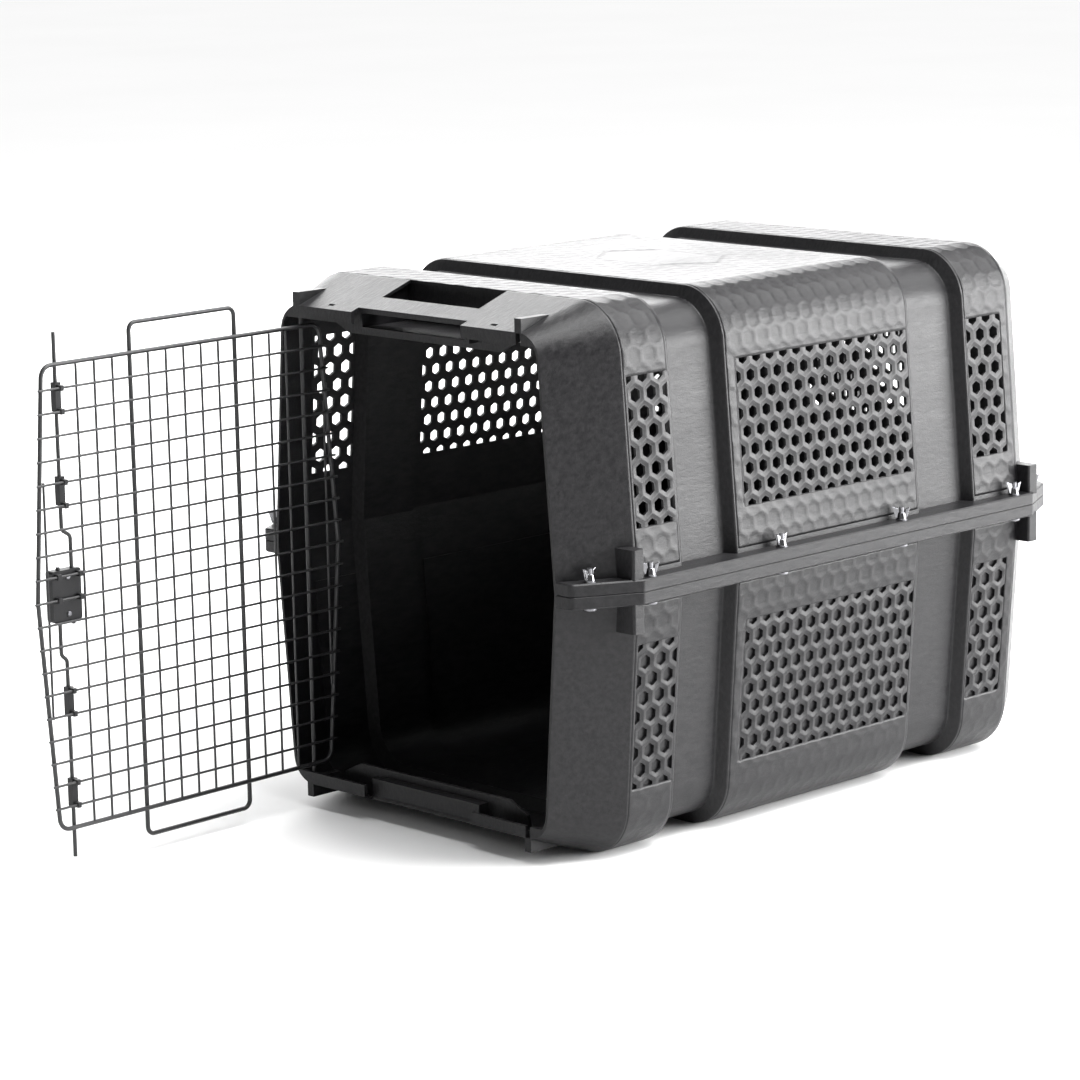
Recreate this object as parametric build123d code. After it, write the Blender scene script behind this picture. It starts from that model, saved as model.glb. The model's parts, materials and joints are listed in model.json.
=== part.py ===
from build123d import *
import math
import os

# A two-piece moulded dog kennel with a welded wire door, standing open.
# Millimetres. +Z is up, the door end faces -Y, and the origin is on the floor under the middle of the
# kennel. "depth" is the distance behind the front rim, and "rise" the height above the parting line.

# Driving sizes of the two shells
length = 808.0
half_height = 306.0
wall = 3.5
wall_lean = 0.079
mouth_half = (228.4, 278.0, 32.0)
full_half = (270.0, 306.0, 60.0)
band_half = (256.0, 292.0, 50.0)
tail_half = (230.0, 278.0, 32.0)
nose_depth = 80.0
front_band = (160.0, 233.0)
rear_band = (559.0, 642.0)
tail_depth = (732.0, 790.0)
step = 7.0

# Flange where the shells meet, its bolts and the corner blocks
lip_thickness = 14.0
lip_half = 289.0
lip_ease = 0.8
bolt_spots = ((25.0, 254.0), (91.0, 280.0), (301.0, 280.0), (506.0, 280.0), (711.0, 280.0), (770.0, 260.0))
bolt_radius = 3.0
block_depths = ((61.0, 78.0), (734.0, 751.0))
block_size = (284.0, 46.0)

# Door rim: front strip, centre notch, stop lip, fins that hold the rod ends
strip_rise = 264.0
strip_thickness = 4.0
notch_half = 88.0
notch_depth = 11.0
stop_depth = (26.0, 30.0)
fin_depth = 42.0
fin_rise = 293.0
fin_width = 10.0

# Hand grip in the upper nose
tray_rise = 260.0
tray_depth = (13.0, 87.0)
grip_half = 78.0
grip_depth = (38.0, 82.0)

# Vent fields in the sides and the tail
vent_rise = (64.0, 227.0)
vent_fields = ((86.0, 148.0), (258.0, 546.0), (654.0, 716.0))
end_cells = (24.5, 8.2)
middle_cells = (22.05, 7.3)
field_cells = ((*end_cells, -0.25), (*middle_cells, 0.0), (*end_cells, 0.25))
row_pitch = 20.4
tail_field = ((-110.0, 110.0), (74.0, 196.0))

# The lower shell's fields are closed: the same hexagons as pockets in a thicker panel
pocket_depth = 3.4
pocket_floor = 1.0

# Door
mesh_pitch = 25.4
hinge_x = -181.6
rod_depth = 7.0
open_angle = 88.0
frame_wire = 5.0
mesh_wire = 2.8
rod_wire = 5.0
latch_wire = 4.4
door_half = 10.0 * mesh_pitch
rod_reach = 290.0
tip_reach = 288.0
latch_reach = 358.5
column_shift = 4.5
frame_offset = 5.0
row_offset = 9.0

# Latch
box_span = (338.0, 377.5)
box_rise = (-25.5, 31.0)
box_front = -7.0
box_back = 3.4
box_wall = 1.8
upper_line = 347.0
lower_line = 366.0
travel = 13.0


def y_at(depth):
    return depth - length / 2


def section(depth, half):
    """The upper half outline of the kennel, square to Y."""
    wall_x, crown, corner = half
    top_x = wall_x - wall_lean * crown
    outline = make_face(Polyline((wall_x, 0), (top_x, crown), (-top_x, crown), (-wall_x, 0), close=True))
    outline = fillet(outline.vertices().sort_by(Axis.Y)[-2:], corner)
    return Plane(origin=(0, y_at(depth), half_height), x_dir=(1, 0, 0), z_dir=(0, -1, 0)) * outline


def grown(half, amount):
    return tuple(value + amount for value in half)


def between(near, far, share):
    return tuple(a + (b - a) * share for a, b in zip(near, far))


def skin(inset):
    """The closed upper form, drawn in by a wall thickness for its cavity."""
    mouth, full, band, tail = (grown(half, -inset) for half in (mouth_half, full_half, band_half, tail_half))
    opening = -5.0 if inset else 0.0
    stations = [
        (opening, between(mouth, full, opening / nose_depth)),
        (nose_depth, full),
        (front_band[0] - step - inset, full),
        (front_band[0] - inset, band),
        (front_band[1] + inset, band),
        (front_band[1] + step + inset, full),
        (rear_band[0] - step - inset, full),
        (rear_band[0] - inset, band),
        (rear_band[1] + inset, band),
        (rear_band[1] + step + inset, full),
        (tail_depth[0], full),
        (tail_depth[1] - inset, tail),
    ]
    return loft([section(depth, half) for depth, half in stations], ruled=True)


def rounded(form):
    """The outer form with its ring edges rounded, more where a zone falls to a channel."""
    rings = [
        (nose_depth, 4.0),
        (front_band[0] - step, 5.0),
        (front_band[0], 3.0),
        (front_band[1], 3.0),
        (front_band[1] + step, 3.0),
        (rear_band[0] - step, 5.0),
        (rear_band[0], 3.0),
        (rear_band[1], 3.0),
        (rear_band[1] + step, 3.0),
        (tail_depth[0], 4.0),
        (tail_depth[1], 9.0),
    ]
    for depth, radius in rings:
        level = [edge for edge in form.edges() if edge.bounding_box().max.Z > half_height + 0.1]
        ring = [edge for edge in level if lies_at(edge, y_at(depth))]
        form = fillet(ring, radius)
    return form


def lies_at(edge, y):
    size = edge.bounding_box()
    return abs(size.min.Y - y) < 0.01 and abs(size.max.Y - y) < 0.01


def block(x_span, depth_span, rise_span):
    """A box between two values of x, of depth and of rise."""
    size = [high - low for low, high in (x_span, depth_span, rise_span)]
    corner = (x_span[0], y_at(depth_span[0]), half_height + rise_span[0])
    return Pos(*corner) * Box(*size, align=Align.MIN)


def upright(foot, radius, height):
    """An upright round bar whose foot is at (x, depth, rise)."""
    x, depth, rise = foot
    bar = Cylinder(radius, height, align=(Align.CENTER, Align.CENTER, Align.MIN))
    return Pos(x, y_at(depth), half_height + rise) * bar


def both_sides(solid):
    return solid + mirror(solid, Plane.YZ)


def to_lower(solid):
    return mirror(solid, Plane.XY.offset(half_height))


def lip_plate(cavity):
    """The flange of one shell: a level plate round the parting line, open inside."""
    right = [(250.0, 0.0), (lip_half, 72.0), (lip_half, 735.0), (258.0, 796.0), (236.0, length)]
    left = [(-x, depth) for x, depth in reversed(right)]
    outline = make_face(Polyline(*[(x, y_at(depth)) for x, depth in right + left], close=True))
    outline = fillet(outline.vertices(), 9.0)
    plate = extrude(Pos(0, 0, half_height) * outline, lip_thickness)
    plate = chamfer(plate.edges().group_by(Axis.Z)[-1], 1.5)
    plate = chamfer(plate.edges().group_by(Axis.Z)[0], lip_ease)
    for depth, x in bolt_spots:
        hole = Cylinder(bolt_radius + 0.3, 4 * lip_thickness)
        plate -= Pos(x, y_at(depth), half_height) * hole + Pos(-x, y_at(depth), half_height) * hole
    return plate - cavity


def corner_blocks(outer):
    """Upright blocks on the flange where the side meets the nose and the tail."""
    x_out, rise = block_size
    blocks = None
    for span in block_depths:
        piece = block((225.0, x_out), span, (lip_thickness - 3, rise))
        piece = both_sides(fillet(piece.edges().filter_by(Axis.Z).sort_by(Axis.X)[-2:], 3.0))
        blocks = piece if blocks is None else blocks + piece
    return blocks - outer


def rim_parts(outer):
    """Front strip, stop lip and rod fins, the same on both shells."""
    strip = block((-260.0, 260.0), (0.0, strip_thickness), (strip_rise, half_height)) & outer
    strip -= block((-notch_half, notch_half), (-1.0, strip_thickness + 1), (200.0, half_height + 1))
    stop_line = [(-150.0, 262.0), (-122.0, 249.0), (122.0, 249.0), (150.0, 262.0), (158.0, 300.0), (-158.0, 300.0)]
    stop_face = Plane(origin=(0, y_at(stop_depth[0]), half_height), x_dir=(1, 0, 0), z_dir=(0, -1, 0))
    stop = extrude(stop_face * make_face(Polyline(*stop_line, close=True)), stop_depth[0] - stop_depth[1]) & outer
    fins = None
    for x in (hinge_x, hinge_x + latch_reach):
        fin = block((x - fin_width / 2, x + fin_width / 2), (0.0, fin_depth), (270.0, fin_rise))
        fins = fin if fins is None else fins + fin
    return strip + stop, fins


def vent_plate(span, rise, plane, cells):
    """A flat grille with pointed hexagon holes: cells gives their pitch, radius and shift along as a share."""
    pitch, radius, share = cells
    width = span[1] - span[0]
    height = rise[1] - rise[0]
    sheet = Rectangle(width, height)
    columns = math.ceil(width / pitch / 2) + 1
    rows = math.ceil(height / row_pitch / 2)
    holes = []
    for row in range(-rows, rows + 1):
        shift = share + (0.5 if row % 2 else 0.0)
        for column in range(-columns, columns + 1):
            centre_u = (column + shift) * pitch
            centre_v = row * row_pitch
            if abs(centre_u) < width / 2 + 3.0 and abs(centre_v) < height / 2 + 1.0:
                holes.append(Pos(centre_u, centre_v) * RegularPolygon(radius, 6, rotation=30))
    return extrude(plane * (sheet - holes), 2 * wall, both=True)


def side_window(span):
    return block((235.0, 290.0), span, vent_rise)


def side_grille(span, cells, skin_wall):
    """The grille of one field on the right side of the upper shell, flush with the leaning wall."""
    middle = sum(vent_rise) / 2
    tilt = math.hypot(1.0, wall_lean)
    origin = (full_half[0] - wall_lean * middle, y_at(sum(span) / 2), half_height + middle)
    plane = Plane(origin=origin, x_dir=(0, 1, 0), z_dir=(1 / tilt, 0, wall_lean / tilt))
    plate = vent_plate(span, (vent_rise[0] - 5, vent_rise[1] + 5), plane, cells)
    return plate & side_window(span) & skin_wall


def tail_window():
    return block(tail_field[0], (tail_depth[1] - 10, tail_depth[1] + 10), tail_field[1])


def tail_grille(skin_wall):
    origin = (0, y_at(tail_depth[1]), half_height + sum(tail_field[1]) / 2)
    plane = Plane(origin=origin, x_dir=(-1, 0, 0), z_dir=(0, 1, 0))
    plate = vent_plate(tail_field[0], tail_field[1], plane, (*middle_cells, 0.0))
    return plate & tail_window() & skin_wall


def grilles(skin_wall):
    """All the plates of one shell, with their holes cut through."""
    plates = [side_grille(span, cells, skin_wall) for span, cells in zip(vent_fields, field_cells)]
    return plates + [mirror(plate, Plane.YZ) for plate in plates] + [tail_grille(skin_wall)]


def windows():
    """The windows that the plates fill, in the same order."""
    sides = [side_window(span) for span in vent_fields]
    return sides + [mirror(window, Plane.YZ) for window in sides] + [tail_window()]


def plain_shell(outer, cavity):
    """What both shells share: walls, flange, blocks, rim, fins and vent windows."""
    strip_and_stop, fins = rim_parts(outer)
    body = outer - cavity + strip_and_stop + fins + lip_plate(cavity) + corner_blocks(outer)
    for window in windows():
        body -= window
    for x, radius in ((hinge_x, rod_wire / 2 + 0.05), (hinge_x + latch_reach, latch_wire / 2 + 0.4)):
        body -= upright((x, rod_depth, 200.0), radius, rod_reach + 1 - 200.0)
    gap = (hinge_x + latch_reach - 3.6, hinge_x + latch_reach + 3.6)
    body -= block(gap, (-1.0, strip_thickness + 1), (strip_rise - 5, 277.0))
    return body


outer_form = rounded(skin(0.0))
cavity_form = skin(wall)
base_shell = plain_shell(outer_form, cavity_form)

# Upper shell: the hand grip is a bar over a closed tray, reached from the notch and from the pocket behind it
tray = block((-notch_half, notch_half), tray_depth, (tray_rise - wall, half_height)) & outer_form
tray_space = block(
    (-notch_half + wall, notch_half - wall), (tray_depth[0] - 20, tray_depth[1] - wall), (tray_rise, half_height)
)
bar = block((-notch_half, notch_half), (notch_depth, grip_depth[0]), (276.0, half_height)) & outer_form
roof = outer_form - cavity_form
notch_cut = block((-notch_half, notch_half), (-2.0, notch_depth), (262.0, half_height))
pocket_cut = block((-grip_half, grip_half), grip_depth, (tray_rise + 1, half_height + 5))
upper_shell = base_shell + tray - (tray_space - roof) + bar - notch_cut - pocket_cut
for x in (-131.0, 131.0):
    upper_shell -= block((x - 4.5, x + 4.5), (7.5, 11.5), (268.0, half_height))

# Lower shell: a closed sill behind the lower notch, under the shut door's frame
sill_rise = door_half + 4.0
sill_depth = (notch_depth + 1, stop_depth[1])
sill = block((-notch_half, notch_half), sill_depth, (sill_rise, half_height)) & outer_form
sill_hollow = block((-notch_half + wall, notch_half - wall), (sill_depth[0] + wall, 50.0), (sill_rise + wall, 330.0))
sill -= sill_hollow - roof
lower_notch = block((-notch_half, notch_half), (-2.0, notch_depth), (200.0, half_height))
lower_shell = to_lower(base_shell + sill - lower_notch)

upper_grilles = grilles(roof)
pocket_form = skin(pocket_depth)
pocket_back = pocket_form - skin(pocket_depth + pocket_floor)
pocket_layers = grilles(outer_form - pocket_form)
lower_panels = [to_lower(layer + (window & pocket_back)) for layer, window in zip(pocket_layers, windows())]


# Fasteners: a carriage bolt up through both lips, with a washer and a wing nut on top
def bolt(x, depth):
    head = upright((x, depth, -lip_thickness - 3.0), 7.0, 3.0)
    head = fillet(head.edges().sort_by(Axis.Z)[0], 1.8)
    shank = upright((x, depth, -lip_thickness), bolt_radius, 2 * lip_thickness + 15.0)
    return head + shank


def washer(x, depth):
    ring = upright((x, depth, lip_thickness), 6.6, 1.2)
    return ring - upright((x, depth, lip_thickness - 1), bolt_radius + 0.3, 4.0)


def wing_nut(x, depth):
    foot = lip_thickness + 1.2
    boss = Cone(5.4, 4.4, 7.0, align=(Align.CENTER, Align.CENTER, Align.MIN))
    wing_line = [(3.0, 1.5), (7.0, 3.5), (9.6, 12.5), (8.6, 14.0), (6.4, 12.8), (3.0, 6.5)]
    wing = extrude(Plane.XZ * make_face(Polyline(*wing_line, close=True)), 1.1, both=True)
    nut = boss + wing + mirror(wing, Plane.YZ)
    nut -= Cylinder(bolt_radius + 0.05, 60.0)
    return Pos(x, y_at(depth), half_height + foot) * Rot(0, 0, 70) * nut


# Door: made shut, then turned open about the hinge rod
def at_door(along, offset, rise):
    """A point of the shut door: along it from the hinge rod, inward from the rod, and above the parting line."""
    return (hinge_x + along, y_at(rod_depth + offset), half_height + rise)


def door_box(along, offset, rise):
    size = [high - low for low, high in (along, offset, rise)]
    return Pos(*at_door(along[0], offset[0], rise[0])) * Box(*size, align=Align.MIN)


def wire_between(start, end, diameter):
    first, last = Vector(*at_door(*start)), Vector(*at_door(*end))
    plane = Plane(origin=first, z_dir=last - first)
    return extrude(plane * Circle(diameter / 2), (last - first).length)


def bent_wire(points, radii, diameter, closed=False):
    """A round wire through points of the door, with its corners rounded."""
    path = FilletPolyline(*[at_door(*point) for point in points], radius=radii, close=closed)
    plane = Plane(origin=path @ 0, z_dir=path % 0)
    return sweep(plane * Circle(diameter / 2), path=path)


def opened(solid):
    hinge = Axis((hinge_x, y_at(rod_depth), 0), (0, 0, 1))
    return solid.rotate(hinge, -open_angle)


frame_top = (-22.0, 15.0 * mesh_pitch)
frame_middle = (-43.0, 15.7 * mesh_pitch)


def frame_edge(side, rise):
    """How far along the door its frame lies at a rise: side 0 is the hinge side, 1 the latch side."""
    share = abs(rise) / door_half
    return frame_middle[side] + (frame_top[side] - frame_middle[side]) * share


outline = [
    (frame_top[0], frame_offset, door_half),
    (frame_top[1], frame_offset, door_half),
    (frame_middle[1], frame_offset, 0.0),
    (frame_top[1], frame_offset, -door_half),
    (frame_top[0], frame_offset, -door_half),
    (frame_middle[0], frame_offset, 0.0),
]
door_frame = bent_wire(outline, 14.0, frame_wire, closed=True)

row_wires = []
for row in range(-9, 10):
    rise = row * mesh_pitch
    ends = (frame_edge(0, rise) - 4.0, frame_edge(1, rise) + 6.5)
    row_wires.append(wire_between((ends[0], row_offset, rise), (ends[1], row_offset, rise), mesh_wire))

loop_columns = (4, 10)
upright_wires = []
upright_reach = door_half - frame_wire / 2
upright_offset = row_offset - mesh_wire
for column in range(1, 14):
    if column not in loop_columns:
        along = column * mesh_pitch + column_shift
        foot = (along, upright_offset, -upright_reach)
        upright_wires.append(wire_between(foot, (along, upright_offset, upright_reach), mesh_wire))
for along, reach in ((-mesh_pitch, 6.5 * mesh_pitch), (15 * mesh_pitch + column_shift, 5.1 * mesh_pitch)):
    upright_wires.append(wire_between((along, upright_offset, -reach), (along, upright_offset, reach), mesh_wire))

loop_reach = door_half + 32.0
loop_outline = [
    (loop_columns[0] * mesh_pitch, 0.0, loop_reach),
    (loop_columns[1] * mesh_pitch, 0.0, loop_reach),
    (loop_columns[1] * mesh_pitch, 0.0, -loop_reach),
    (loop_columns[0] * mesh_pitch, 0.0, -loop_reach),
]
door_loop = bent_wire(loop_outline, 9.0, frame_wire, closed=True)
hinge_rod = wire_between((0.0, 0.0, -rod_reach), (0.0, 0.0, rod_reach), rod_wire)

# Latch: two rods cross the box side by side, each with a finger slider and a spring round it
upper_points = [
    (latch_reach, 0.0, tip_reach),
    (latch_reach, 0.0, 73.5),
    (upper_line, 0.0, 66.5),
    (upper_line, 0.0, -30.5),
]
lower_points = [
    (latch_reach, 0.0, -tip_reach),
    (latch_reach, 0.0, -69.0),
    (lower_line, 0.0, -62.5),
    (lower_line, 0.0, 34.5),
]
latch_rod_upper = bent_wire(upper_points, 7.0, latch_wire)
latch_rod_lower = bent_wire(lower_points, 7.0, latch_wire)

latch_box = door_box(box_span, (box_front, box_back), box_rise)
latch_box = fillet(latch_box.edges().filter_by(Axis.Y), 3.0)
hollow_span = (box_span[0] + box_wall, box_span[1] - box_wall)
hollow_rise = (box_rise[0] + box_wall, box_rise[1] - box_wall)
latch_box -= door_box(hollow_span, (box_front + box_wall, box_back + 1), hollow_rise)
for line in (upper_line, lower_line):
    latch_box -= wire_between((line, 0.0, -40.0), (line, 0.0, 50.0), latch_wire + 0.8)
for line, slot in ((upper_line, (6.0, 29.0)), (lower_line, (-23.5, -0.5))):
    latch_box -= door_box((line - 4.6, line + 4.6), (box_front - 1, box_front + box_wall + 1), slot)
screw_spots = [((upper_line + lower_line) / 2, rise) for rise in (-17.5, 23.0)]
for along, rise in screw_spots:
    post = door_box((along - 2.9, along + 2.9), (box_front + 1, box_back), (rise - 2.9, rise + 2.9))
    hole = extrude(Plane(origin=at_door(along, box_back + 1, rise), z_dir=(0, -1, 0)) * Circle(1.15), 8.5)
    latch_box = latch_box + post - hole


def wire_clip(along, half_width, rise, foot):
    """A small closed hook round one row wire, from a foot on the outer side of the mesh."""
    hook = door_box((along - half_width, along + half_width), (foot, row_offset + 2.8), (rise - 3.0, rise + 3.0))
    wire = wire_between((along - 9, row_offset, rise), (along + 9, row_offset, rise), mesh_wire + 0.4)
    return hook - wire


# A back plate closes the box and clips round two rows of the mesh
plate_span = (box_back, box_back + 1.2)
back_plate = door_box(box_span, plate_span, box_rise)
back_plate = fillet(back_plate.edges().filter_by(Axis.Y), 3.0)
for along in (343.0, 372.5):
    for rise in (0.0, mesh_pitch):
        back_plate += wire_clip(along, 2.5, rise, plate_span[1] - 0.5)


def screw(along, rise):
    """A pan-head screw through the back plate into its post."""
    plane = Plane(origin=at_door(along, plate_span[1], rise), z_dir=(0, 1, 0))
    head = fillet(extrude(plane * Circle(2.8), 1.8).edges().sort_by(Axis.Y)[-1], 0.9)
    shank = extrude(plane * Circle(1.05), -(plate_span[1] - box_back + 7.0))
    return head + shank


for along, rise in screw_spots:
    hole = Plane(origin=at_door(along, plate_span[1] + 1, rise), z_dir=(0, 1, 0)) * Circle(1.15)
    back_plate -= extrude(hole, -6.0)
latch_screws = [screw(along, rise) for along, rise in screw_spots]


def slider(line, body_rise, pad_rise):
    """A block clamped on one rod, with a ribbed finger pad outside the box."""
    rod = wire_between((line, 0.0, body_rise[0] - 1), (line, 0.0, body_rise[1] + 1), latch_wire)
    core = door_box((line - 5.0, line + 5.0), (-4.8, 2.6), body_rise)
    neck = door_box((line - 4.0, line + 4.0), (box_front - 1.5, -4.5), (pad_rise[0] + 1, pad_rise[1] - 1))
    pad = door_box((box_span[0] + 5.0, box_span[1] - 5.0), (box_front - 4.0, box_front - 0.6), pad_rise)
    pad = fillet(pad.edges().filter_by(Axis.Y), 2.0)
    return core + neck + pad - rod


upper_core = (20.0, 28.4)
lower_core = (-22.9, -14.5)
latch_slider_upper = slider(upper_line, upper_core, upper_core)
latch_slider_lower = slider(lower_line, lower_core, lower_core)


def coil(line, low, high):
    """A compression spring round a rod."""
    path = Helix(pitch=(high - low - 1.2) / 12, height=high - low - 1.2, radius=2.75)
    wire = sweep(Plane(origin=path @ 0, z_dir=path % 0) * Circle(0.4), path=path)
    return Pos(*at_door(line, 0.0, low + 0.6)) * wire


latch_spring_upper = coil(upper_line, hollow_rise[0], upper_core[0])
latch_spring_lower = coil(lower_line, lower_core[1], hollow_rise[1])


def rod_guide(low_row, lift):
    """A slim holder for a latch rod, clipped round two rows of the mesh."""
    low = low_row * mesh_pitch
    high = low + mesh_pitch
    rod = wire_between((latch_reach, 0.0, low - 20), (latch_reach, 0.0, high + 20), latch_wire + 0.8)
    holder = door_box((latch_reach - 3.7, latch_reach + 3.7), (-3.6, 4.7), (low - 3.0 + lift, high + 3.0 + lift)) - rod
    return holder + wire_clip(latch_reach, 2.2, low, 4.0) + wire_clip(latch_reach, 2.2, high, 4.0)


rod_guides = [rod_guide(row, lift) for row, lift in ((8, 2.5), (4, 2.5), (-5, 0.5), (-9, 0.5))]


def write(name, shapes):
    group = shapes if isinstance(shapes, list) else [shapes]
    solids = [solid for shape in group for solid in shape.solids()]
    export_step(solids[0] if len(solids) == 1 else Compound(children=solids), f"parts/{name}.step")


os.makedirs("parts", exist_ok=True)
export_step(upper_shell, "parts/upper_shell.step")
export_step(lower_shell, "parts/lower_shell.step")
write("upper_vent_grilles", upper_grilles)
write("lower_vent_panels", lower_panels)
fastener_spots = [(side * x, depth) for side in (1, -1) for depth, x in bolt_spots]
write("flange_bolts", [bolt(x, depth) for x, depth in fastener_spots])
write("bolt_washers", [washer(x, depth) for x, depth in fastener_spots])
write("wing_nuts", [wing_nut(x, depth) for x, depth in fastener_spots])
write("door_frame", opened(door_frame))
write("door_row_wires", [opened(wire) for wire in row_wires])
write("door_upright_wires", [opened(wire) for wire in upright_wires])
write("door_loop", opened(door_loop))
write("hinge_rod", opened(hinge_rod))
write("latch_box", opened(latch_box))
write("latch_back_plate", opened(back_plate))
write("latch_screws", [opened(piece) for piece in latch_screws])
write("latch_rod_upper", opened(latch_rod_upper))
write("latch_rod_lower", opened(latch_rod_lower))
write("latch_slider_upper", opened(latch_slider_upper))
write("latch_slider_lower", opened(latch_slider_lower))
write("latch_spring_upper", opened(latch_spring_upper))
write("latch_spring_lower", opened(latch_spring_lower))
for name, guide in zip(("top", "upper", "lower", "bottom"), rod_guides):
    write(f"rod_guide_{name}", opened(guide))
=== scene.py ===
import json
import math

import bmesh
import bpy
from mathutils import Matrix, Vector


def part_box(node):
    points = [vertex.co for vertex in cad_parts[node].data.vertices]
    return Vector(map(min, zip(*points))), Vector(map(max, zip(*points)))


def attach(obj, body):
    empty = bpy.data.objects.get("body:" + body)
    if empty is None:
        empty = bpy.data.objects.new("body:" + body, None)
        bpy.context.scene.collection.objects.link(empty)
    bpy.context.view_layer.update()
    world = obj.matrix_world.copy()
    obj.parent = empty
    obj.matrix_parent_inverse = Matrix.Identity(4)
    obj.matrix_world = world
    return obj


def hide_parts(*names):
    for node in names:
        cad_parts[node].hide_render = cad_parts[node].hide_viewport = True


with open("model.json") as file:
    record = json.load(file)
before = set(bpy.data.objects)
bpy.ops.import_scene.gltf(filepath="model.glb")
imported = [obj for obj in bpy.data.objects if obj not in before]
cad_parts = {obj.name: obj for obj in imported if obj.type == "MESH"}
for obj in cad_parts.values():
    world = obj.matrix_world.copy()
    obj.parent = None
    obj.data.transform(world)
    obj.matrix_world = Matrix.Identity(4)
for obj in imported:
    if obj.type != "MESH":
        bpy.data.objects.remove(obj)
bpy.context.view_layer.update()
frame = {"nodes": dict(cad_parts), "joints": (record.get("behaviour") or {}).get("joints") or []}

mm = 0.001

# Depth is measured back from the shells' front rim, and rise from the parting line.
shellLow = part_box("upper_shell")[0]
frontY = shellLow.y
partingZ = shellLow.z
hinge = next(joint for joint in frame["joints"] if joint["name"] == "door_hinge")
hingeSpot = Vector(hinge["pos_m"])
openTurn = math.radians(hinge["range_deg"][0])   # turns a shut door to its place at rest
print("frame loaded:", len(frame["nodes"]), "nodes")


# A shader socket that can be added, subtracted and multiplied.
class Num:
    def __init__(self, tree, socket):
        self.tree = tree
        self.socket = socket

    def math(self, operation, first, second):
        node = self.tree.nodes.new("ShaderNodeMath")
        node.operation = operation
        for slot, value in zip(node.inputs, (first, second)):
            if isinstance(value, Num):
                self.tree.links.new(value.socket, slot)
            else:
                slot.default_value = value
        return Num(self.tree, node.outputs[0])

    def __add__(self, other): return self.math("ADD", self, other)
    def __radd__(self, other): return self.math("ADD", other, self)
    def __sub__(self, other): return self.math("SUBTRACT", self, other)
    def __rsub__(self, other): return self.math("SUBTRACT", other, self)
    def __mul__(self, other): return self.math("MULTIPLY", self, other)
    def __rmul__(self, other): return self.math("MULTIPLY", other, self)


# A material with one principled shader and the nodes that feed it.
class Finish:
    def __init__(self, name, **fixed):
        self.material = bpy.data.materials.new(name)
        self.material.use_nodes = True
        self.tree = self.material.node_tree
        self.surface = self.tree.nodes["Principled BSDF"]
        for socket, value in fixed.items():
            self.surface.inputs[socket.replace("_", " ")].default_value = value
        self.place = self.node("ShaderNodeTexCoord", out="Object")

    def node(self, kind, settings=None, inputs=None, out=0):
        made = self.tree.nodes.new(kind)
        for name, value in (settings or {}).items():
            setattr(made, name, value)
        for name, value in (inputs or {}).items():
            if isinstance(value, Num):
                self.tree.links.new(value.socket, made.inputs[name])
            else:
                made.inputs[name].default_value = value
        return Num(self.tree, made.outputs[out])

    def noise(self, scale, detail=4.0, rough=0.55, stretch=(1, 1, 1), turn=(0, 0, 0)):
        spot = self.node("ShaderNodeMapping", inputs={"Vector": self.place, "Scale": stretch, "Rotation": turn})
        wanted = {"Vector": spot, "Scale": scale, "Detail": detail, "Roughness": rough}
        return self.node("ShaderNodeTexNoise", inputs=wanted, out="Fac")

    def mask(self, value, low, high):
        wanted = {"Value": value, "From Min": low, "From Max": high}
        return self.node("ShaderNodeMapRange", {"clamp": True}, wanted)

    def mix(self, factor, first, second):
        wanted = {0: factor, 6: colour(first), 7: colour(second)}
        return self.node("ShaderNodeMix", {"data_type": "RGBA"}, wanted, out=2)

    def bump(self, height, distance, strength=1.0, under=None):
        wanted = {"Height": height, "Distance": distance, "Strength": strength}
        if under:
            wanted["Normal"] = under
        return self.node("ShaderNodeBump", None, wanted, out="Normal")

    def feed(self, **links):
        for socket, value in links.items():
            self.tree.links.new(value.socket, self.surface.inputs[socket.replace("_", " ")])
        return self.material


def colour(value):
    return value if isinstance(value, Num) else (*value, 1.0) if len(value) == 3 else value


shellLook = {
    "dark": (0.0075, 0.0074, 0.0082),
    "pale": (0.016, 0.0156, 0.0166),
    # paler tone mixed in as painted top light on upward-facing surfaces, and on scuffs
    "paintedTopLightAndScuff": (0.075, 0.074, 0.076),
    "gloss": 0.30,
}


def shellFinish():
    f = Finish("mouldedShell", Specular_IOR_Level=0.21)
    streak = f.noise(560.0, 5.0, 0.62, stretch=(0.55, 0.10, 0.30), turn=(0.55, 0.3, 0.5))
    flow = f.noise(9.0, 3.0, 0.5, stretch=(1.0, 0.6, 1.6))
    grain = f.noise(1500.0, 2.0, 0.5)
    crease = f.node("ShaderNodeTexVoronoi", {"feature": "DISTANCE_TO_EDGE"},
                    {"Vector": f.place, "Scale": 620.0}, out="Distance")
    scuff = f.mask(f.noise(38.0, 8.0, 0.7, stretch=(1.0, 0.3, 1.0)), 0.62, 0.78)
    facing = f.node("ShaderNodeNewGeometry", out="Normal")
    upward = f.node("ShaderNodeSeparateXYZ", inputs={"Vector": facing}, out="Z")
    # Painted top light: upward-facing surfaces made paler in patches, not dust.
    paintedTopLightAndScuff = f.mask(upward, 0.35, 1.0) * f.mask(flow, 0.35, 0.75) * 0.22
    base = f.mix(f.mask(streak, 0.35, 0.7), shellLook["dark"], shellLook["pale"])
    base = f.mix(paintedTopLightAndScuff + scuff * 0.10, base, shellLook["paintedTopLightAndScuff"])
    rough = shellLook["gloss"] + f.mask(streak, 0.25, 0.75) * 0.15 + scuff * 0.12 + (flow - 0.5) * 0.18
    relief = streak * 1.0 + grain * 0.10 + f.mask(crease, 0.0, 0.25) * 0.10
    return f.feed(Base_Color=base, Roughness=rough, Normal=f.bump(relief, 0.0004))


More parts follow.
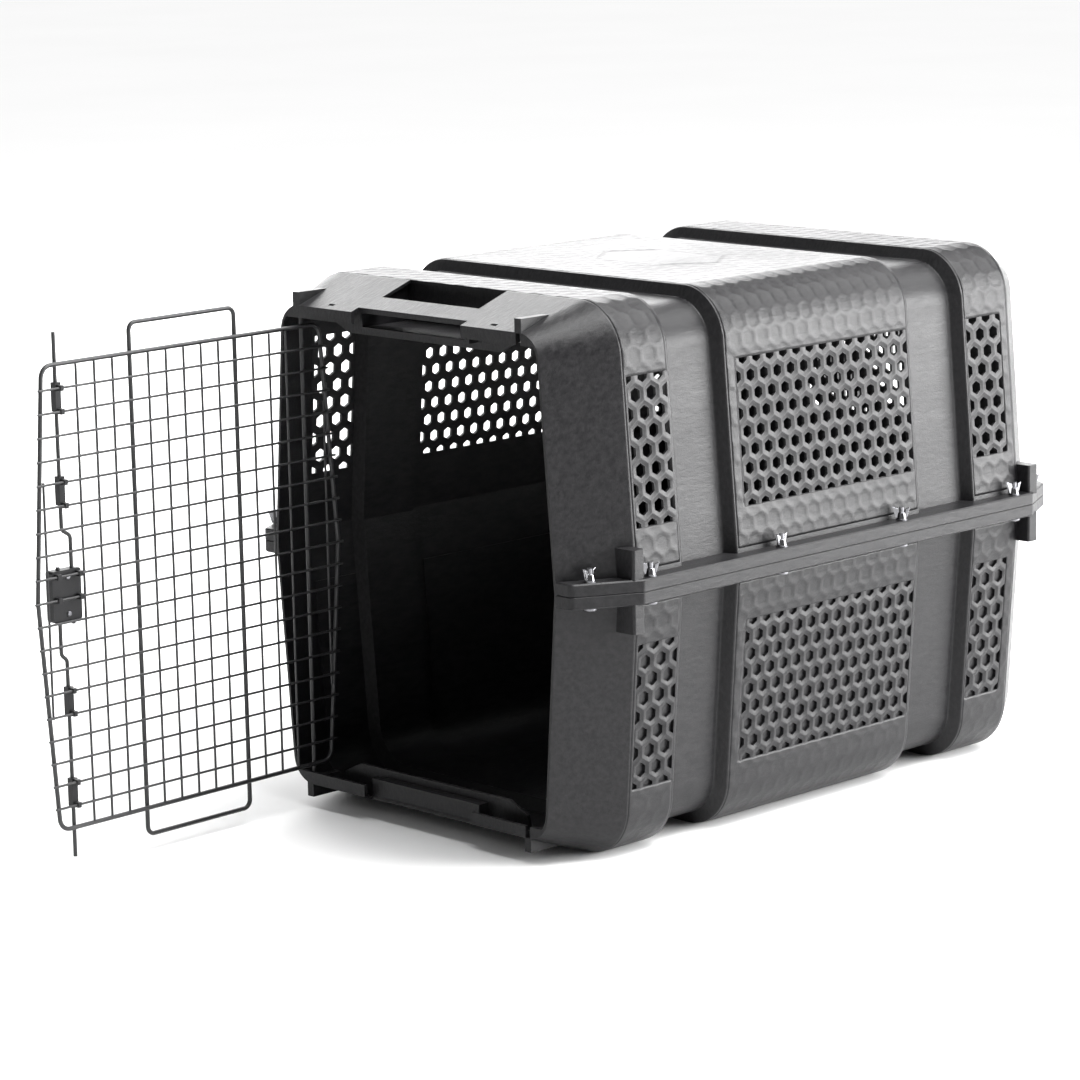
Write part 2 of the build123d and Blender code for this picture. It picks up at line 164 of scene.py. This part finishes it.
def wireFinish():
    f = Finish("coatedWire", Specular_IOR_Level=0.5)
    peel = f.noise(420.0, 3.0, 0.5)
    rub = f.mask(f.noise(60.0, 6.0, 0.7), 0.66, 0.76)
    base = f.mix(rub, (0.011, 0.011, 0.012), (0.05, 0.049, 0.048))
    rough = 0.36 + peel * 0.16 + rub * 0.1
    return f.feed(Base_Color=base, Roughness=rough, Normal=f.bump(peel, 0.00012))


def latchFinish():
    f = Finish("latchNylon", Specular_IOR_Level=0.3)
    grain = f.noise(1900.0, 2.0, 0.5)
    flow = f.noise(45.0, 4.0, 0.6)
    base = f.mix(f.mask(flow, 0.3, 0.7), (0.005, 0.005, 0.006), (0.011, 0.011, 0.012))
    rough = 0.42 + flow * 0.18
    return f.feed(Base_Color=base, Roughness=rough, Normal=f.bump(grain, 0.00016))


def chromeFinish():
    f = Finish("brightPlate", Metallic=1.0)
    haze = f.noise(140.0, 5.0, 0.6)
    pit = f.mask(f.noise(700.0, 2.0, 0.5), 0.68, 0.75)
    base = f.mix(pit, (0.22, 0.22, 0.23), (0.12, 0.12, 0.12))
    rough = 0.09 + haze * 0.13 + pit * 0.2
    return f.feed(Base_Color=base, Roughness=rough, Normal=f.bump(haze, 0.00008))


def zincFinish():
    f = Finish("zincSteel", Metallic=1.0)
    spangle = f.node("ShaderNodeTexVoronoi", None, {"Vector": f.place, "Scale": 900.0}, out="Distance")
    haze = f.noise(90.0, 6.0, 0.65)
    base = f.mix(f.mask(haze, 0.35, 0.7), (0.20, 0.20, 0.21), (0.13, 0.13, 0.14))
    rough = 0.26 + spangle * 0.12 + haze * 0.12
    return f.feed(Base_Color=base, Roughness=rough, Normal=f.bump(haze, 0.00006))


def floorFinish():
    f = Finish("paleFloor", Roughness=0.75)
    cloud = f.noise(1.2, 3.0, 0.5)
    return f.feed(Base_Color=f.mix(cloud, (0.86, 0.86, 0.86), (0.90, 0.90, 0.90)))


shellPlastic = shellFinish()
coatedWire = wireFinish()
latchNylon = latchFinish()
brightPlate = chromeFinish()
zincSteel = zincFinish()
print("finishes made")


def finished(name, bm, body, material, smoothTo=None, replaced=()):
    mesh = bpy.data.meshes.new(name)
    if smoothTo is not None:
        bm.normal_update()
        for face in bm.faces:
            face.smooth = True
        for edge in bm.edges:
            edge.smooth = edge.is_manifold and edge.calc_face_angle(0.0) < math.radians(smoothTo)
    bm.to_mesh(mesh)
    bm.free()
    piece = bpy.data.objects.new(name, mesh)
    bpy.context.scene.collection.objects.link(piece)
    mesh.materials.append(material)
    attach(piece, body)
    if replaced:
        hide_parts(*replaced)
    return piece


def evenNormals(piece):
    weighted = piece.modifiers.new("evenNormals", "WEIGHTED_NORMAL")
    weighted.keep_sharp = True
    weighted.weight = 80


# A merged copy of a CAD node, smooth over its curves and sharp at its edges.
def smoothCopy(node, name, body, material, angle):
    bm = bmesh.new()
    bm.from_mesh(frame["nodes"][node].data)
    bmesh.ops.remove_doubles(bm, verts=bm.verts, dist=0.004 * mm)
    piece = finished(name, bm, body, material, angle, [node])
    evenNormals(piece)
    return piece


def paint(nodes, material):
    for node in nodes:
        for holder in frame["nodes"][node].material_slots:
            holder.material = material


smoothCopy("upper_shell", "upperShellSkin", "kennel", shellPlastic, 30)
smoothCopy("lower_shell", "lowerShellSkin", "kennel", shellPlastic, 30)
smoothCopy("upper_vent_grilles", "upperGrilleSkin", "kennel", shellPlastic, 30)
smoothCopy("lower_vent_panels", "lowerPanelSkin", "kennel", shellPlastic, 30)
print("shell skins made")

# The moulded honeycomb on the three raised zones is a thin skin that follows this outline.
outline = {
    "half": 270.0,       # half width at the parting line
    "crown": 306.0,
    "corner": 60.0,
    "lean": 0.079,
    "start": 19.0,       # rise at which the pattern begins, just over the flange
}
comb = {
    "zones": {"front": (81.5, 149.4), "middle": (242.5, 548.5), "rear": (651.5, 730.3)},
    "vents": {"front": (86.0, 148.0), "middle": (258.0, 546.0), "rear": (654.0, 716.0)},
    "cells": {"front": (24.5, 8.2, -0.25), "middle": (22.05, 7.3, 0.0), "rear": (24.5, 8.2, 0.25)},
    "ventRise": (64.0, 227.0),
    "rowPitch": 20.4,
    "ridge": 0.85,       # height of the walls between the cells
    "ridgeWidth": 4.2,
    "base": 0.07,
    "grid": 2.9,
    "fade": 5.0,
    "thick": 0.5,        # of the patterned skins
    "ringThick": 0.35,   # of the skins round the holes
    "calmLower": 0.65,   # share by which the pattern dies away under the lower panels
    "calmBadge": 0.55,   # share of the pattern kept inside the badge
    "badgeEdge": 0.9,    # height of the badge's raised border
    "badge": (0.0, 404.0, 88.0, 52.0),   # middle x and depth, half length, half width
}

leanLength = math.hypot(1.0, outline["lean"])
wallDir = Vector((-outline["lean"] / leanLength, 1.0 / leanLength))
turnAngle = math.pi / 2 - math.atan(outline["lean"])
tangent = outline["corner"] * math.tan(turnAngle / 2)
wallRun = outline["crown"] * leanLength - tangent
arcRun = outline["corner"] * turnAngle
shoulder = outline["half"] - outline["lean"] * outline["crown"] - tangent   # x where the flat top begins
sideRun = wallRun + arcRun
fullRun = sideRun + shoulder


# x, rise and outward normal after going run millimetres up the side from the parting line.
def onOutline(run):
    if run <= wallRun:
        spot = Vector((outline["half"], 0.0)) + wallDir * run
        return spot, Vector((wallDir.y, -wallDir.x))
    if run < sideRun:
        turned = (run - wallRun) / outline["corner"]
        foot = Vector((outline["half"], 0.0)) + wallDir * wallRun
        out = Vector((wallDir.y, -wallDir.x))
        centre = foot - out * outline["corner"]
        spun = Matrix.Rotation(turned, 2) @ out
        return centre + spun * outline["corner"], spun
    return Vector((shoulder - (run - sideRun), outline["crown"])), Vector((0.0, 1.0))


# 0 in the middle of a honeycomb cell, 1 on the wall between two cells.
def cellWall(u, v, pitch, share):
    row = round(v / comb["rowPitch"])
    nearest = []
    for step in (-1, 0, 1):
        line = row + step
        shift = (share + (0.5 if line % 2 else 0.0)) * pitch
        column = round((u - shift) / pitch)
        for side in (-1, 0, 1):
            centreU = (column + side) * pitch + shift
            nearest.append(math.hypot(u - centreU, v - line * comb["rowPitch"]))
    nearest.sort()
    gap = (nearest[1] - nearest[0]) / 2
    share = max(0.0, 1.0 - gap / comb["ridgeWidth"])
    return share * share * (3 - 2 * share)


def faded(distance):
    share = min(1.0, max(0.0, distance / comb["fade"]))
    return share * share * (3 - 2 * share)


def combSkin(zone, upper):
    start, end = comb["zones"][zone]
    ventStart, ventEnd = comb["vents"][zone]
    pitch, _, share = comb["cells"][zone]
    ventLow, ventHigh = [rise * leanLength for rise in comb["ventRise"]]
    low = outline["start"] * leanLength
    across = end - start
    around = 2 * (fullRun - low)
    bm = bmesh.new()
    bmesh.ops.create_grid(bm, x_segments=round(across / comb["grid"]),
                          y_segments=round(around / comb["grid"]), size=0.5)
    middleU = (max(start, ventStart) + min(end, ventEnd)) / 2
    middleV = (ventLow + ventHigh) / 2
    badgeX, badgeDepth, badgeLong, badgeWide = comb["badge"]
    places = {}
    for vert in bm.verts:
        u = start + (vert.co.x + 0.5) * across
        v = vert.co.y * around            # 0 at the crown, minus on the left side
        run = fullRun - abs(v)
        for edge in (ventStart, ventEnd):
            if abs(u - edge) < comb["grid"] * 0.5 and start + 1 < u < end - 1:
                u = edge
        for edge in (ventLow, ventHigh):
            if abs(run - edge) < comb["grid"] * 0.5:
                run = edge
        places[vert] = (u, run, v)
    cut = []
    for face in bm.faces:
        u = sum(places[vert][0] for vert in face.verts) / len(face.verts)
        run = sum(places[vert][1] for vert in face.verts) / len(face.verts)
        if ventStart < u < ventEnd and ventLow < run < ventHigh:
            cut.append(face)
    for vert, (u, run, v) in places.items():
        spot, out = onOutline(run)
        x = spot.x if v > 0 else -spot.x
        keep = faded(u - start) * faded(end - u) * faded(run - low)
        overU = max(ventStart - u, u - ventEnd)
        overV = max(ventLow - run, run - ventHigh)
        keep *= faded(max(overU, overV))
        height = comb["ridge"] * cellWall(u - middleU, run - middleV, pitch, share)
        if zone == "middle" and upper and run > sideRun:
            reach = badgeReach(x - badgeX, u - badgeDepth, badgeLong, badgeWide)
            height *= comb["calmBadge"] * faded(reach * 40.0)
            height += comb["badgeEdge"] * math.exp(-((reach * 45.0 - 1.0) / 1.1) ** 2)
        if not upper:
            height *= 1.0 - comb["calmLower"] * faded((run - ventHigh) / 4.0)
        lift = comb["base"] + keep * height
        side = 1 if upper else -1
        vert.co = Vector((
            (x + (out.x if v > 0 else -out.x) * lift) * mm,
            frontY + u * mm,
            partingZ + side * (spot.y + out.y * lift) * mm,
        ))
    bmesh.ops.delete(bm, geom=cut, context="FACES")
    loose = [vert for vert in bm.verts if not vert.link_faces]
    bmesh.ops.delete(bm, geom=loose, context="VERTS")
    if upper:
        bmesh.ops.reverse_faces(bm, faces=bm.faces)
    name = f"{zone}Comb{'Upper' if upper else 'Lower'}"
    piece = finished(name, bm, "kennel", shellPlastic)
    for polygon in piece.data.polygons:
        polygon.use_smooth = True
    thick = piece.modifiers.new("thickness", "SOLIDIFY")
    thick.thickness = comb["thick"] * mm
    thick.offset = -1
    return piece


# Distance outside a long six-sided badge as a share of its size: below 0 inside it.
def badgeReach(x, y, long, wide):
    x, y = abs(x) / long, abs(y) / wide
    return max(y - 1.0, x + y * 0.45 - 1.0)


# Raised walls round the holes of one vent field, in one thin skin on the face of its plate.
def ringSkin(zone, upper, right):
    pitch, radius, share = comb["cells"][zone]
    start, end = comb["vents"][zone]
    low, high = [rise * leanLength for rise in comb["ventRise"]]
    middle = Vector(((start + end) / 2, (low + high) / 2))
    row = comb["rowPitch"]
    side = (row * row - pitch * pitch / 4) / (2 * row)
    cell = [(0, row - side), (-pitch / 2, side), (-pitch / 2, -side),
            (0, side - row), (pitch / 2, -side), (pitch / 2, side)]
    hole = [(radius * math.sin(-turn), radius * math.cos(turn)) for turn in (step * math.pi / 3 for step in range(6))]
    rings = [(0.0, 1.0), (0.14, 0.86), (0.36, 0.22), (0.9, 0.04), (1.0, -0.5)]   # share of the way in, height
    bm = bmesh.new()
    for line in range(-5, 6):
        shift = (share + (0.5 if line % 2 else 0.0)) * pitch
        for column in range(-8, 9):
            centre = middle + Vector((column * pitch + shift, line * row))
            if not (start - pitch < centre.x < end + pitch):
                continue
            loops = []
            for way, height in rings:
                spots = [centre + Vector(outer).lerp(Vector(inner), way) for outer, inner in zip(cell, hole)]
                loops.append([bm.verts.new((spot.x, spot.y, height)) for spot in spots])
            for outer, inner in zip(loops, loops[1:]):
                for index in range(6):
                    after = (index + 1) % 6
                    bm.faces.new((outer[index], outer[after], inner[after], inner[index]))
    bmesh.ops.remove_doubles(bm, verts=bm.verts, dist=0.01)
    for edge, away in ((Vector((start, 0, 0)), (-1, 0, 0)), (Vector((end, 0, 0)), (1, 0, 0)),
                       (Vector((0, low, 0)), (0, -1, 0)), (Vector((0, high, 0)), (0, 1, 0))):
        everything = bm.verts[:] + bm.edges[:] + bm.faces[:]
        bmesh.ops.bisect_plane(bm, geom=everything, plane_co=edge, plane_no=away, clear_outer=True)
    flip = 1 if right else -1
    down = 1 if upper else -1
    for vert in bm.verts:
        u, run, height = vert.co
        spot, out = onOutline(run)
        inside = min(u - start, end - u, run - low, high - run)
        lift = comb["base"] + height * comb["ridge"] * min(1.0, inside / 2.5)
        vert.co = Vector((
            flip * (spot.x + out.x * lift) * mm,
            frontY + u * mm,
            partingZ + down * (spot.y + out.y * lift) * mm,
        ))
    if right != upper:
        bmesh.ops.reverse_faces(bm, faces=bm.faces)
    name = f"{zone}Rings{'Upper' if upper else 'Lower'}{'Right' if right else 'Left'}"
    piece = finished(name, bm, "kennel", shellPlastic, 50)
    thick = piece.modifiers.new("thickness", "SOLIDIFY")
    thick.thickness = comb["ringThick"] * mm
    thick.offset = -1


for zone in comb["zones"]:
    for upper in (True, False):
        combSkin(zone, upper)
        for right in (True, False):
            ringSkin(zone, upper, right)
print("honeycomb skins made")


paint(["flange_bolts", "bolt_washers", "latch_screws", "latch_spring_upper", "latch_spring_lower"], zincSteel)

nut = {
    "bore": 3.1,                  # radii
    "bossFoot": 5.6,
    "bossTop": 4.3,
    "bossHeight": 7.2,
    "wing": (2.4, 2.2, 6.0),      # half length, thickness, half height before it is bent outward
    "spread": 7.0,
    "turn": math.radians(70),
    "soften": 0.75,
}


# Middle of the foot of each wing nut: the top of each separate washer in the washers' node.
def nutSpots():
    bm = bmesh.new()
    bm.from_mesh(frame["nodes"]["bolt_washers"].data)
    bmesh.ops.remove_doubles(bm, verts=bm.verts, dist=0.01 * mm)
    left = set(bm.verts)
    spots = []
    while left:
        island, front = set(), [left.pop()]
        while front:
            vert = front.pop()
            island.add(vert)
            for edge in vert.link_edges:
                other = edge.other_vert(vert)
                if other in left:
                    left.discard(other)
                    front.append(other)
        low = [min(vert.co[axis] for vert in island) for axis in range(3)]
        high = [max(vert.co[axis] for vert in island) for axis in range(3)]
        spots.append(Vector(((low[0] + high[0]) / 2, (low[1] + high[1]) / 2, high[2])))
    bm.free()
    return sorted(spots, key=lambda spot: (spot.x, spot.y))


def wingNuts():
    bm = bmesh.new()
    for index, spot in enumerate(nutSpots()):
        one = bmesh.new()
        bore, foot, top, height = nut["bore"], nut["bossFoot"], nut["bossTop"], nut["bossHeight"]
        profile = [(bore, 0.0), (foot, 0.0), (foot, 1.4), (top, height),
                   (top - 0.6, height + 0.5), (bore, height + 0.5)]
        points = [one.verts.new((x, 0, z)) for x, z in profile]
        ring = [one.edges.new((a, b)) for a, b in zip(points, points[1:] + points[:1])]
        bmesh.ops.spin(one, geom=points + ring, axis=(0, 0, 1), cent=(0, 0, 0), steps=28,
                       angle=math.tau, use_merge=True)
        bmesh.ops.remove_doubles(one, verts=one.verts, dist=0.001)
        long, thick, tall = nut["wing"]
        for side in (1, -1):
            made = bmesh.ops.create_cube(one, size=1.0)["verts"]
            for vert in made:
                up = vert.co.z + 0.5
                vert.co = Vector((
                    side * (nut["spread"] * (0.62 + 0.42 * up) + vert.co.x * 2 * long * (0.75 + 0.35 * up)),
                    vert.co.y * thick * (1.25 - 0.35 * up),
                    1.6 + up * 2 * tall * (0.86 + 0.16 * (vert.co.x > 0)),
                ))
            edges = {edge for vert in made for edge in vert.link_edges}
            bmesh.ops.bevel(one, geom=list(edges), offset=nut["soften"], segments=3,
                             profile=0.5, affect="EDGES", material=-1)
        bmesh.ops.recalc_face_normals(one, faces=one.faces)
        swing = nut["turn"] + 0.5 * math.sin(index * 2.3)
        place = Matrix.Translation(spot) @ Matrix.Rotation(swing, 4, "Z") @ Matrix.Scale(mm, 4)
        bmesh.ops.transform(one, matrix=place, verts=one.verts)
        mesh = bpy.data.meshes.new("oneNut")
        one.to_mesh(mesh)
        one.free()
        bm.from_mesh(mesh)
        bpy.data.meshes.remove(mesh)
    piece = finished("wingNutSet", bm, "kennel", brightPlate, 40, ["wing_nuts"])
    evenNormals(piece)


wingNuts()
print("fasteners made")


doorNodes = ["door_frame", "door_row_wires", "door_upright_wires", "door_loop", "hinge_rod"]
for node in doorNodes:
    smoothCopy(node, f"{node}_coated", "door", coatedWire, 50)
smoothCopy("latch_rod_upper", "upperRodCoated", "upper_latch", coatedWire, 50)
smoothCopy("latch_rod_lower", "lowerRodCoated", "lower_latch", coatedWire, 50)
paint(["latch_box", "latch_back_plate", "latch_slider_upper", "latch_slider_lower", "rod_guide_top",
       "rod_guide_upper", "rod_guide_lower", "rod_guide_bottom"], latchNylon)

mesh = {
    "pitch": 25.4,
    "rows": 9,              # rows above and below the middle one
    "columns": 13,
    "skipped": (4, 10),     # the heavy loop runs here
    "shift": 4.5,
    "offset": 7.6,          # the welds lie between the two layers of wire
    "weld": (1.5, 1.1, 1.5),
}
openDoor = Matrix.Translation(hingeSpot) @ Matrix.Rotation(openTurn, 4, "Z")


# A squashed bead of weld metal at each crossing of the door's mesh.
def welds():
    bm = bmesh.new()
    for row in range(-mesh["rows"], mesh["rows"] + 1):
        for column in range(1, mesh["columns"] + 1):
            if column in mesh["skipped"]:
                continue
            swell = 1.0 + 0.18 * math.sin(row * 3.7 + column * 5.1)
            along = column * mesh["pitch"] + mesh["shift"]
            spot = Vector((along, mesh["offset"], row * mesh["pitch"])) * mm
            size = Matrix.Diagonal(Vector([value * swell * mm for value in mesh["weld"]] + [1.0]))
            place = openDoor @ Matrix.Translation(spot) @ size
            bmesh.ops.create_icosphere(bm, subdivisions=1, radius=1.3, matrix=place)
    return finished("meshWelds", bm, "door", coatedWire, 60)


welds()

pads = {
    "along": (345.5, 370.0),
    "offset": -11.0,        # outer face of the finger pads
    "rises": {"upper_latch": 24.2, "lower_latch": -18.7},
    "ribs": 3,
    "gap": 2.4,
    "rib": (1.1, 1.0),      # height above the pad and width
}


def padRibs(body):
    bm = bmesh.new()
    low, high = pads["along"]
    proud, wide = pads["rib"]
    for index in range(pads["ribs"]):
        rise = pads["rises"][body] + (index - (pads["ribs"] - 1) / 2) * pads["gap"]
        spot = Vector(((low + high) / 2, pads["offset"], rise)) * mm
        size = Matrix.Diagonal(Vector((high - low, 2 * proud, wide, 1000.0)) * mm)
        made = bmesh.ops.create_cube(bm, size=1.0, matrix=openDoor @ Matrix.Translation(spot) @ size)["verts"]
        edges = {edge for vert in made for edge in vert.link_edges}
        bmesh.ops.bevel(bm, geom=list(edges), offset=0.3 * mm, segments=2,
                        profile=0.5, affect="EDGES", material=-1)
    finished(f"{body}Ribs", bm, body, latchNylon, 40)


for body in pads["rises"]:
    padRibs(body)
print("door made")


def groundPlane():
    bm = bmesh.new()
    bmesh.ops.create_grid(bm, x_segments=1, y_segments=1, size=70.0)
    plane = bpy.data.meshes.new("floor")
    bm.to_mesh(plane)
    bm.free()
    floor = bpy.data.objects.new("floor", plane)
    bpy.context.scene.collection.objects.link(floor)
    plane.materials.append(floorFinish())


studio = {
    "back": {"spot": (-3.4, 3.4, 1.2), "aim": (0, 0, 0.6), "size": (6.0, 2.3), "power": 185},
    "top": {"spot": (1.0, 0.1, 3.2), "aim": (0, 0, 0.3), "size": (2.0, 2.0), "power": 150},
    "left": {"spot": (-3.1, 1.9, 2.9), "aim": (0, 0, 0.5), "size": (3.2, 2.0), "power": 130},
    "side": {"spot": (3.1, 3.0, 1.0), "aim": (0.2, 0, 0.3), "size": (3.8, 2.0), "power": 500},
    "front": {"spot": (1.5, -5.5, 3.6), "aim": (0, 0, 0.2), "size": (2.5, 2.0), "power": 32},
}


def lamp(name, spot, aim, size, power):
    light = bpy.data.lights.new(name, "AREA")
    light.shape = "RECTANGLE"
    light.size, light.size_y = size
    light.energy = power
    holder = bpy.data.objects.new(name, light)
    bpy.context.scene.collection.objects.link(holder)
    holder.location = spot
    holder.rotation_euler = (Vector(aim) - Vector(spot)).to_track_quat("-Z", "Y").to_euler()
    holder.visible_camera = False


# A wide soft sun from behind, so that the whole floor stays pale.
def skylight():
    light = bpy.data.lights.new("skylight", "SUN")
    light.energy = 3.4
    light.angle = math.radians(50)
    holder = bpy.data.objects.new("skylight", light)
    bpy.context.scene.collection.objects.link(holder)
    holder.rotation_euler = Vector((-0.45, -0.75, -1.2)).to_track_quat("-Z", "Y").to_euler()


def surround():
    world = bpy.data.worlds.new("studio")
    bpy.context.scene.world = world
    world.use_nodes = True
    shade = world.node_tree.nodes["Background"]
    shade.inputs["Color"].default_value = (1, 1, 1, 1)
    shade.inputs["Strength"].default_value = 0.25


view = {
    "place": (3.0897, -3.2253, 1.1542),
    "azimuth": math.radians(45.64),
    "elevation": math.radians(11.09),
    "roll": math.radians(-1.09),
    "lens": 128.5,
}


def camera():
    lens = bpy.data.cameras.new("camera")
    lens.sensor_width = 36.0
    lens.lens = view["lens"]
    lens.clip_end = 100.0
    holder = bpy.data.objects.new("camera", lens)
    bpy.context.scene.collection.objects.link(holder)
    a, e = view["azimuth"], view["elevation"]
    back = Vector((math.sin(a) * math.cos(e), -math.cos(a) * math.cos(e), math.sin(e)))
    holder.rotation_mode = "QUATERNION"
    roll = Matrix.Rotation(view["roll"], 3, "Z").to_quaternion()
    holder.rotation_quaternion = (-back).to_track_quat("-Z", "Y") @ roll
    holder.location = view["place"]
    bpy.context.scene.camera = holder


groundPlane()
for name, settings in studio.items():
    lamp(name, **settings)
skylight()
surround()
camera()
bpy.context.scene.view_settings.view_transform = "Standard"
print("studio made")
